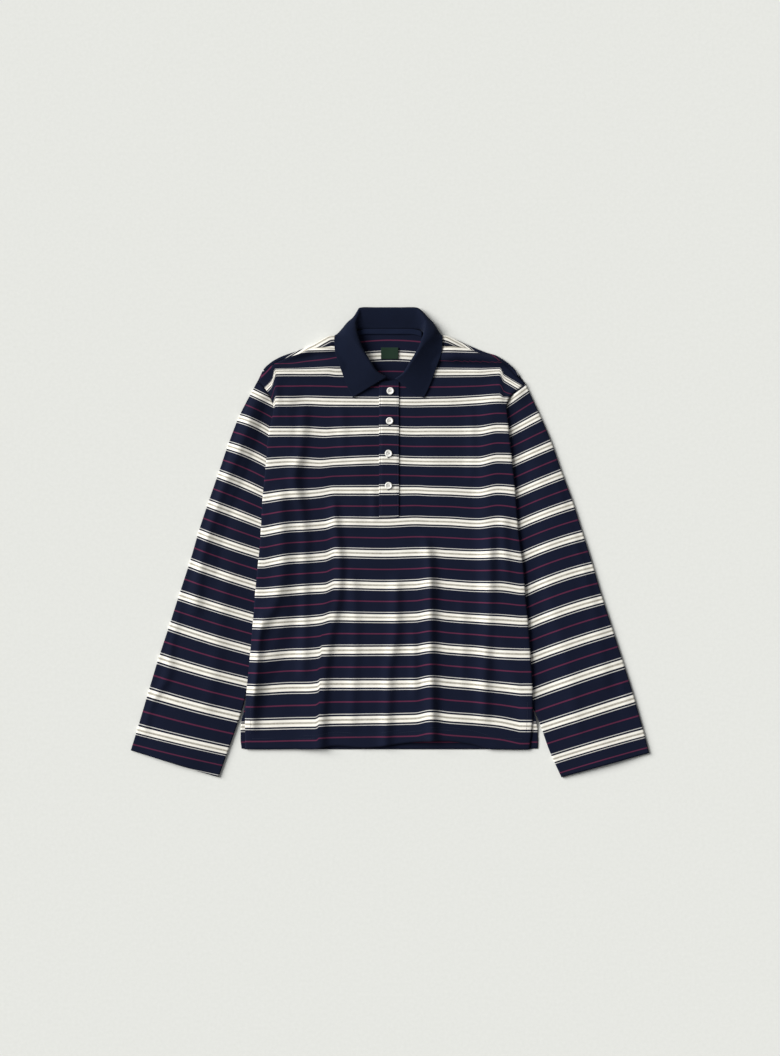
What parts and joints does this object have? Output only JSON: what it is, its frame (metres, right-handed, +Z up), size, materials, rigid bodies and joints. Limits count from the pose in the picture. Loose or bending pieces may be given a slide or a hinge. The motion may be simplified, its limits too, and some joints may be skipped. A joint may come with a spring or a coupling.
{
  "type": "long-sleeved polo shirt",
  "caption": "Long-sleeved striped jersey polo shirt laid flat face up, with a flat-knit collar, a buttoned half placket and side vents at the hem.",
  "frame": {"origin": "on the surface the shirt lies on, below the middle of its box", "axes": "+Z up from the surface out of the front panel's face, +Y from the hem to the collar, +X to the right sleeve as seen in the picture, the wearer's left"},
  "size_m": [0.805, 0.7299, 0.0202],
  "materials": {
    "striped_jersey": "soft navy cotton jersey with cream, grey and red cross stripes",
    "collar_knit": "matt navy flat-knit rib",
    "button_plastic": "white, lightly polished",
    "neck_cloth": "matt navy twill tape",
    "label_cloth": "plain dark green woven cloth"
  },
  "bodies": {
    "root": {"front": "striped_jersey", "back": "striped_jersey", "sleeve_left": "striped_jersey", "sleeve_right": "striped_jersey", "collar": "collar_knit", "placket": "striped_jersey", "button_1": "button_plastic", "button_2": "button_plastic", "button_3": "button_plastic", "button_4": "button_plastic", "neck_tape": "neck_cloth", "neck_label": "label_cloth"}
  },
  "joints": []
}
